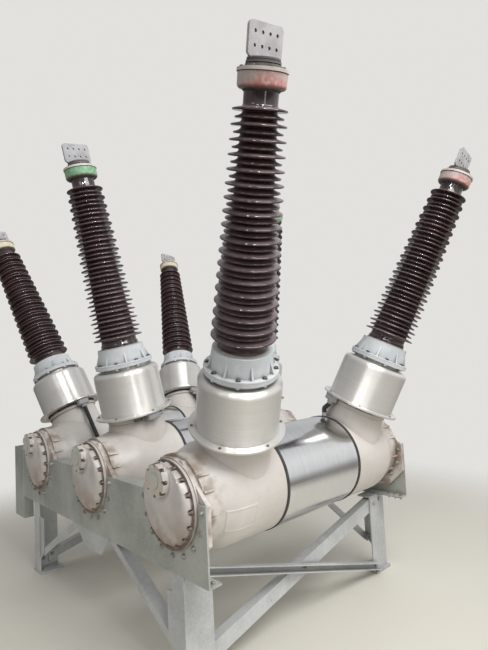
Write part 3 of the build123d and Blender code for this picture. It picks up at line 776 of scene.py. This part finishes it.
# Bolts of the covers, and of the tank flanges over the lower half
RIM_BOLTS = {"count": 16, "radius": 0.2065, "height": 0.018, "size": 0.0106, "stud": 0.008}
HUB_BOLTS = {"count": 8, "radius": 0.077, "height": 0.0, "size": 0.0092}
HUB_RISE = 0.132
HUB_FACE = 0.074
FLANGE_BOLT = 0.0135
FLANGE_SPACES = 8
FLANGE_BACK = -0.034
HEAD_CIRCLE = 0.257
NUT_CIRCLE = 0.266
rim_bolts, hub_bolts, flange_bolts = Shape(), Shape(), Shape()
for side, end in BUSHINGS:
    place = end_place(side, end)
    bolt_circle(rim_bolts, place, **RIM_BOLTS)
    bolt_circle(hub_bolts, place @ Matrix.Translation((0, HUB_RISE, HUB_FACE)), **HUB_BOLTS)
    for step in range(FLANGE_SPACES + 1):
        angle = -pi * step / FLANGE_SPACES
        bolt(flange_bolts, place @ around(HEAD_CIRCLE, angle), FLANGE_BOLT, stud=0.004, turn=step)
        nut = place @ around(NUT_CIRCLE, angle, FLANGE_BACK) @ Matrix.Rotation(pi, 4, "X")
        bolt(flange_bolts, nut, FLANGE_BOLT, stud=0.010, turn=step)
rim_bolts.piece("cover_rim_bolts", bolt_stained)
hub_bolts.piece("cover_hub_bolts", bolt_stained)
flange_bolts.piece("tank_flange_bolts", bolt_zinc)

# Bolts along the bushings
BUSHING_BOLTS = {
    "housing_screws": {"count": 6, "radius": 0.246, "height": HOUSING_FLANGE_TOP, "size": 0.0072},
    "collar_bolts": {"count": 8, "radius": 0.180, "height": COLLAR_START + COLLAR_FLANGE, "size": 0.0118},
    "neck_bolts": {"count": 12, "radius": 0.180, "height": NECK_TOP, "size": 0.0125, "stud": 0.004},
    "cap_screws": {"count": 8, "radius": 0.093, "height": RIM_TOP, "size": 0.009, "start": 0.5},
}
for name, circle in BUSHING_BOLTS.items():
    bolts = Shape()
    for side, end in BUSHINGS:
        bolt_circle(bolts, bushing_place(side, end), **circle)
    bolts.piece(name, bolt_dark)


# Gland boxes and ribbed hoses
GLAND_RADIUS = 0.225
GLAND_MIDDLE = 0.377
GLAND_LOW = 0.354
GLAND_SIZE = (0.048, 0.088, 0.046)
GLAND_TURN = radians(118)
HOSE_RADIUS = 0.016
DARK_BOX_SIZE = (0.040, 0.056, 0.028)
RIB_PITCH = 0.0078
HOSE_START = 0.004
HOSE_BEND = 0.030

# Pole A's hoses: where they land along the tank, and their last bend and end above its axis
LANDING = 0.376
LANDING_HEIGHTS = (0.3443, 0.3120)

# Pole C's hoses and the terminal blocks at their ends
FLANK_HOSE_X = -0.584
FLANK_HOSE_KNEE = 1.000
TERMINAL_BLOCK_SIZE = (0.0787, 0.062, 0.060)
TERMINAL_BLOCK_X = -0.5924
TERMINAL_BLOCK_FACE = 0.0394
TERMINAL_BLOCK_TOP = AXIS_HEIGHT + 0.030

# Outlines of the gland nut, of the boss on pole A's tank and of pole B's closed stub
NUT = [(0.0225, 0.0), (0.0225, 0.013), (0.0205, 0.0145), (0.0195, 0.0145)]
NUT += [(0.0195, 0.021), (0.0175, 0.023), (0.012, 0.023)]
BOSS = [(0.0175, 0.286), (0.0175, 0.300), (0.0165, 0.302), (0.0165, 0.3135)]
BOSS += [(0.0155, 0.3145), (0.012, 0.3145)]
STUB = [(0.0165, 0.0), (0.0165, 0.010), (0.012, 0.0115), (0.012, 0.024), (0.0145, 0.025)]
STUB += [(0.0145, 0.032), (0.0125, 0.034)]


def gland_box(shape, seat):
    """Cast box with a screwed lid on its outer face."""
    lid_size = (0.005, 0.080, 0.040)
    shape.add(block(GLAND_SIZE, 0.005, 3), seat)
    lid = seat @ Matrix.Translation((GLAND_SIZE[0] / 2 + 0.001, 0, 0))
    shape.add(block(lid_size, 0.0018), lid)
    outwards = lid @ Matrix.Translation((lid_size[0] / 2, 0, 0)) @ Matrix.Rotation(pi / 2, 4, "Y")
    screws_on(shape, outwards, 0.0034, 0.030, 0.068)


def gland_with_outlet(shape, place):
    """Gland box with a nut below it; gives the place where its hose leaves along local Z."""
    gland_box(shape, place @ Matrix.Translation((GLAND_RADIUS, 0, GLAND_MIDDLE)))
    outlet = place @ Matrix.Translation((GLAND_RADIUS, 0, GLAND_LOW)) @ Matrix.Rotation(pi, 4, "X")
    shape.add(lathe(NUT, 6), outlet)
    return outlet


def ribbed_hose(shape, corners, radius):
    """Corrugated conduit through the corners of a path."""
    path = rounded([Vector(corner) for corner in corners], radius, RIB_PITCH / 3)
    radii = [HOSE_RADIUS if step % 3 else HOSE_RADIUS - 0.0022 for step in range(len(path))]
    shape.add(tube(path, radii, 20))


boxes = {pole: Shape() for pole in POLES}
hoses = {"a": Shape(), "c": Shape()}
dark_boxes = Shape()
for end in ENDS:
    # Pole A: a short hose down to a boss on top of the tank
    place = bushing_place(POLES["a"], end) @ Matrix.Rotation(-end * GLAND_TURN, 4, "Z")
    outlet = gland_with_outlet(boxes["a"], place)
    landing = tank_place(POLES["a"]) @ Matrix.Translation((0, end * LANDING, 0))
    spot = landing @ Matrix.Rotation(radians(1), 4, "Y")
    boxes["a"].add(lathe(BOSS, 32), spot)
    corners = [outlet @ Vector((0, 0, HOSE_START)), outlet @ Vector((0, 0, HOSE_BEND))]
    corners += [spot @ Vector((0, 0, height)) for height in LANDING_HEIGHTS]
    ribbed_hose(hoses["a"], corners, 0.018)

    # Pole B: a box with a closed stub, and a smaller dark box beside it
    place = bushing_place(POLES["b"], end)
    seat = place @ Matrix.Translation((GLAND_RADIUS, 0, GLAND_MIDDLE))
    gland_box(boxes["b"], seat)
    inner_face = seat @ Matrix.Translation((0, -end * GLAND_SIZE[1] / 2, 0))
    boxes["b"].add(lathe(STUB, 24, capped=True), inner_face @ Matrix.Rotation(end * pi / 2, 4, "X"))
    beside = place @ around(GLAND_RADIUS - 0.002, end * radians(26), HOUSING_START - 0.014)
    dark_boxes.add(block(DARK_BOX_SIZE, 0.003), beside)

    # Pole C: a long hose down the tank's inner flank to a terminal block
    outlet = gland_with_outlet(boxes["c"], bushing_place(POLES["c"], end))
    bend = outlet @ Vector((0, 0, HOSE_BEND))
    knee = Vector((FLANK_HOSE_X, bend.y, FLANK_HOSE_KNEE))
    low = Vector((FLANK_HOSE_X, bend.y, TERMINAL_BLOCK_TOP - 0.001))
    ribbed_hose(hoses["c"], [outlet @ Vector((0, 0, HOSE_START)), bend, knee, low], 0.030)
    middle = Matrix.Translation((TERMINAL_BLOCK_X, bend.y, AXIS_HEIGHT))
    boxes["c"].add(block(TERMINAL_BLOCK_SIZE, 0.004, 3), middle)
    boxes["c"].add(lathe(NUT, 6), Matrix.Translation((FLANK_HOSE_X, bend.y, TERMINAL_BLOCK_TOP)))
    lid = middle @ Matrix.Translation((TERMINAL_BLOCK_FACE, 0, 0)) @ Matrix.Rotation(pi / 2, 4, "Y")
    screws_on(boxes["c"], lid, 0.0036, 0.042, 0.044)
for pole, shape in boxes.items():
    shape.piece("gland_boxes_" + pole, box_paint, "hose_rubber", ["hoses_" + pole])
dark_boxes.piece("dark_boxes_b", bolt_dark, "hose_rubber", ["hoses_b"])
for pole, shape in hoses.items():
    shape.piece("ribbed_hoses_" + pole, materials["hose_rubber"], "hose_rubber", ["hoses_" + pole], 60)


# Bolts and welds of the steelwork
FOOT_PLATE_TOP = 0.017
LEG_TOP = 0.5335
LEG_NEAR = 0.756
LEG_FAR = 0.926
TIE_LOW = 0.112
TIE_HIGH = 0.475
TIE_REACH = 0.750
TIE_ENDS = (0.800, 0.870)
FOLD_BOLTS_X = (1.110, 1.160, 1.205)
FOLD_BOLTS_Y = 0.886
STRUT_ENDS = ((-0.800, 0.541), (0.762, 0.055))
TIE_BOLT = {"size": 0.0125, "grip": 0.017}
FOLD_BOLT = {"size": 0.0115, "grip": 0.010}
STRUT_BOLT = {"size": 0.0115, "grip": 0.015}
GUSSET_HALF = 0.244
GUSSET_FACE = 0.921
GUSSET_FOOT = 0.543
BEAM_END_C = -1.290
BEAM_END_SEAM = (0.548, 0.924)


def through_bolt(shape, place, size, grip, turn=0.0):
    """Head on the face that local Z leaves, nut and thread on the far side of the grip."""
    bolt(shape, place, size, turn=turn)
    far_side = place @ Matrix.Translation((0, 0, -grip)) @ Matrix.Rotation(pi, 4, "X")
    bolt(shape, far_side, size, stud=0.008, turn=turn + 1)


def tie_height_at(y):
    """Height of the side tie's middle line, low at the front legs and high at the back legs."""
    return TIE_LOW + (y + TIE_REACH) * (TIE_HIGH - TIE_LOW) / (2 * TIE_REACH)


steel_bolts, welds = Shape(), Shape()
for side in (-1, 1):
    outer, inner = steel_x(side, LEG_OUTER), steel_x(side, LEG_INNER)
    for end in ENDS:
        for y in TIE_ENDS:
            place = facing((outer, end * y, tie_height_at(end * y)), (side, 0, 0))
            through_bolt(steel_bolts, place, **TIE_BOLT, turn=y * 9)
        for x in FOLD_BOLTS_X:
            place = facing((steel_x(side, x), end * FOLD_BOLTS_Y, WEB_BOTTOM + 0.010), (0, 0, 1))
            through_bolt(steel_bolts, place, **FOLD_BOLT, turn=x * 9)
        seam = (outer, end * LEG_NEAR, FOOT_PLATE_TOP), (outer, end * LEG_FAR, FOOT_PLATE_TOP)
        bead(welds, *seam, 0.007, 11 + side + end)
        flange = end * (LEG_FAR - 0.008)
        seam = (inner, flange, FOOT_PLATE_TOP), (outer - side * 0.010, flange, FOOT_PLATE_TOP)
        bead(welds, *seam, 0.007, 21 + side + end)
        seam = (outer, end * (LEG_NEAR - 0.002), LEG_TOP), (outer, end * LEG_FAR, LEG_TOP)
        bead(welds, *seam, 0.005, 31 + side + end)
    for turn, (y, height) in enumerate(STRUT_ENDS, 1):
        head = facing((outer + side * 0.006, y, height), (side, 0, 0))
        through_bolt(steel_bolts, head, **STRUT_BOLT, turn=turn)
for end in ENDS:
    seam = [(FRAME_SHIFT + x, end * GUSSET_FACE, GUSSET_FOOT) for x in (-GUSSET_HALF, GUSSET_HALF)]
    bead(welds, *seam, 0.007, 41 + end)
    seam = [(BEAM_END_C, end * BEAM_FACE, height) for height in BEAM_END_SEAM]
    bead(welds, *seam, 0.006, 51 + end)
steel_bolts.piece("steelwork_bolts", bolt_zinc)
welds.piece("weld_beads", materials["galvanised_leg"], "galvanised_leg")


# Blank raised plates cast on the tanks, on the right of each end as seen from outside
BARREL_RADIUS = 0.288
END_RADIUS = 0.246
SHOULDER_START = 0.690
SHOULDER_LENGTH = 0.170
PLATE_NEAR = 0.585
PLATE_FAR = 0.785
PLATE_LOW = radians(5)
PLATE_HIGH = radians(31)
PLATE_ROWS = 56
PLATE_COLUMNS = 36


def tank_radius(y):
    """Outer radius of a tank at a distance from its middle, smaller over the shoulder."""
    share = min(max((y - SHOULDER_START) / SHOULDER_LENGTH, 0.0), 1.0)
    return BARREL_RADIUS - (BARREL_RADIUS - END_RADIUS) * share * share * (3 - 2 * share)


def plate_lift(edge):
    """Height over the tank at a distance from the plate's edge: a slope, a border and a flat within it."""
    slope = min(edge / 0.004, 1.0)
    within = min(max((edge - 0.010) / 0.005, 0.0), 1.0)
    return 0.0036 * slope - 0.0018 * within - 0.0008


def raised_plate(shape, side, end):
    """A shallow rectangle with a higher border, which follows the tank's curve."""
    length = PLATE_FAR - PLATE_NEAR
    arc = PLATE_HIGH - PLATE_LOW
    points, faces = [], []
    for row in range(PLATE_ROWS + 1):
        for column in range(PLATE_COLUMNS + 1):
            across, down = row / PLATE_ROWS, column / PLATE_COLUMNS
            edge = min(min(across, 1 - across) * length, min(down, 1 - down) * arc * BARREL_RADIUS)
            angle = PLATE_LOW + arc * down
            y = PLATE_NEAR + length * across
            radius = tank_radius(y) + plate_lift(edge)
            points.append((-end * radius * cos(angle), end * y, -radius * sin(angle)))
    for row in range(PLATE_ROWS):
        for column in range(PLATE_COLUMNS):
            first = row * (PLATE_COLUMNS + 1) + column
            second = first + PLATE_COLUMNS + 1
            faces.append((second, second + 1, first + 1, first))
    shape.add((points, faces), tank_place(side))


plates = Shape()
for side, end in BUSHINGS:
    raised_plate(plates, side, end)
plates.piece("cast_plates", materials["casting_paint"], "casting_paint")


# Floor, fading away into the plain backdrop around the object
BACKDROP = colour(226, 225, 222)
FLOOR_HALF = 6
FLOOR_FADE = (2.5, 4.4)


def floor_paint():
    """Pale floor that turns clear with the distance from the object."""
    made = Paint("floor_paint")
    made.rough(0.6)
    made.base(made.mix(made.noise(0.8, 3.0), colour(211, 207, 195), colour(219, 215, 204)))
    away = made.node("VectorMath", {"operation": "LENGTH"}, {0: made.place}).outputs["Value"]
    clear = made.node("BsdfTransparent").outputs[0]
    joined = made.node("MixShader")
    faded = made.between(away, *FLOOR_FADE)
    for socket, value in zip(joined.inputs, (faded, made.shader.outputs[0], clear)):
        made.plug(socket, value)
    made.plug(made.tree.nodes["Material Output"].inputs["Surface"], joined.outputs[0])
    return made.done()


ground = bpy.data.meshes.new("floor")
corners = [(-FLOOR_HALF, -FLOOR_HALF, 0), (FLOOR_HALF, -FLOOR_HALF, 0)]
corners += [(FLOOR_HALF, FLOOR_HALF, 0), (-FLOOR_HALF, FLOOR_HALF, 0)]
ground.from_pydata(corners, [], [(0, 1, 2, 3)])
ground.materials.append(floor_paint())
floor = bpy.data.objects.new("floor", ground)
bpy.context.scene.collection.objects.link(floor)
floor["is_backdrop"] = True

# Light: a plain room in soft bands by height, brighter towards pole A, and a plain backdrop for the camera
ROOM_BANDS = (
    (-1.00, (206, 200, 188)),
    (-0.66, (204, 197, 182)),
    (-0.48, (138, 133, 125)),
    (-0.18, (134, 131, 127)),
    (0.00, (224, 225, 226)),
    (0.34, (244, 244, 243)),
    (0.62, (216, 218, 220)),
    (1.00, (224, 224, 224)),
)
ROOM_STRENGTH = 1.06
BRIGHT_SIDE = (0.80, 0.45, 0.0)
DIM_SHARE = 0.42

world = bpy.data.worlds.new("room")
world.use_nodes = True
bpy.context.scene.world = world
room = Nodes(world.node_tree, "Generated")
bands = room.node("ValToRGB")
for height, tone in ROOM_BANDS[1:-1]:
    bands.color_ramp.elements.new((height + 1) / 2)
for element, (height, tone) in zip(bands.color_ramp.elements, ROOM_BANDS):
    element.position = (height + 1) / 2
    element.color = colour(*tone)
rise = room.node("MapRange", None, {"Value": room.part("Z"), "From Min": -1.0})
room.plug(bands.inputs[0], rise.outputs["Result"])
towards = room.node("VectorMath", {"operation": "DOT_PRODUCT"}, {0: room.place, 1: BRIGHT_SIDE})
strength = room.between(towards.outputs["Value"], -0.8, 0.8, DIM_SHARE * ROOM_STRENGTH, ROOM_STRENGTH)
lit = room.node("Background", None, {"Color": bands.outputs["Color"], "Strength": strength})
plain = room.node("Background", None, {"Color": BACKDROP})
chosen = room.node("MixShader")
seen = room.node("LightPath").outputs["Is Camera Ray"]
for socket, value in zip(chosen.inputs, (seen, lit.outputs[0], plain.outputs[0])):
    room.plug(socket, value)
room.plug(room.tree.nodes["World Output"].inputs["Surface"], chosen.outputs[0])


def lamp(name, spot, target, size, power, shine_only=False):
    """A soft lamp, or one that only shows in glossy surfaces."""
    light = bpy.data.lights.new(name, "AREA")
    light.shape = "RECTANGLE"
    light.size, light.size_y = size
    light.energy = power
    made = bpy.data.objects.new(name, light)
    made.matrix_world = facing(spot, Vector(spot) - Vector(target))
    made.visible_diffuse = not shine_only
    bpy.context.scene.collection.objects.link(made)


lamp("ceiling_lamp", (4.4, -0.4, 5.4), (0.2, 0, 1.2), (3.2, 3.2), 240)
lamp("near_lamp", (2.0, -4.6, 4.4), (0.2, 0, 1.4), (1.2, 1.2), 14)
lamp("spark_lamp", (4.6, -2.1, 5.2), (0.9, -0.4, 2.0), (0.40, 0.40), 110, shine_only=True)
lamp("side_spark_lamp", (3.7, -3.6, 5.2), (0.9, -0.4, 2.0), (0.40, 0.40), 70, shine_only=True)
lamp("strip_lamp", (5.1, -2.0, 2.4), (0.9, -0.3, 1.4), (0.45, 3.2), 12, shine_only=True)

# Camera at the photograph's viewpoint
CAMERA_PLACE = Vector((3.0051, -2.3158, 1.6087))
CAMERA_TURN = 0.8154
CAMERA_RISE = 0.0714
CAMERA_ROLL = -0.0514
FOCAL_PIXELS = 470.736
IMAGE_HEIGHT = 650
SENSOR_WIDTH = 36
level_ahead = Vector((-sin(CAMERA_TURN), cos(CAMERA_TURN), 0))
ahead = level_ahead * cos(CAMERA_RISE) + Vector((0, 0, sin(CAMERA_RISE)))
level = Vector((cos(CAMERA_TURN), sin(CAMERA_TURN), 0))
upright = level.cross(ahead)
right = level * cos(CAMERA_ROLL) + upright * sin(CAMERA_ROLL)
above = upright * cos(CAMERA_ROLL) - level * sin(CAMERA_ROLL)
camera = bpy.data.objects.new("camera", bpy.data.cameras.new("camera"))
turned = Matrix((right, above, -ahead)).transposed().to_4x4()
camera.matrix_world = Matrix.Translation(CAMERA_PLACE) @ turned
camera.data.sensor_width = SENSOR_WIDTH
camera.data.lens = FOCAL_PIXELS / IMAGE_HEIGHT * SENSOR_WIDTH
camera.data.clip_end = 200
bpy.context.scene.collection.objects.link(camera)
bpy.context.scene.camera = camera
bpy.context.scene.view_settings.view_transform = "Standard"

low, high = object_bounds()
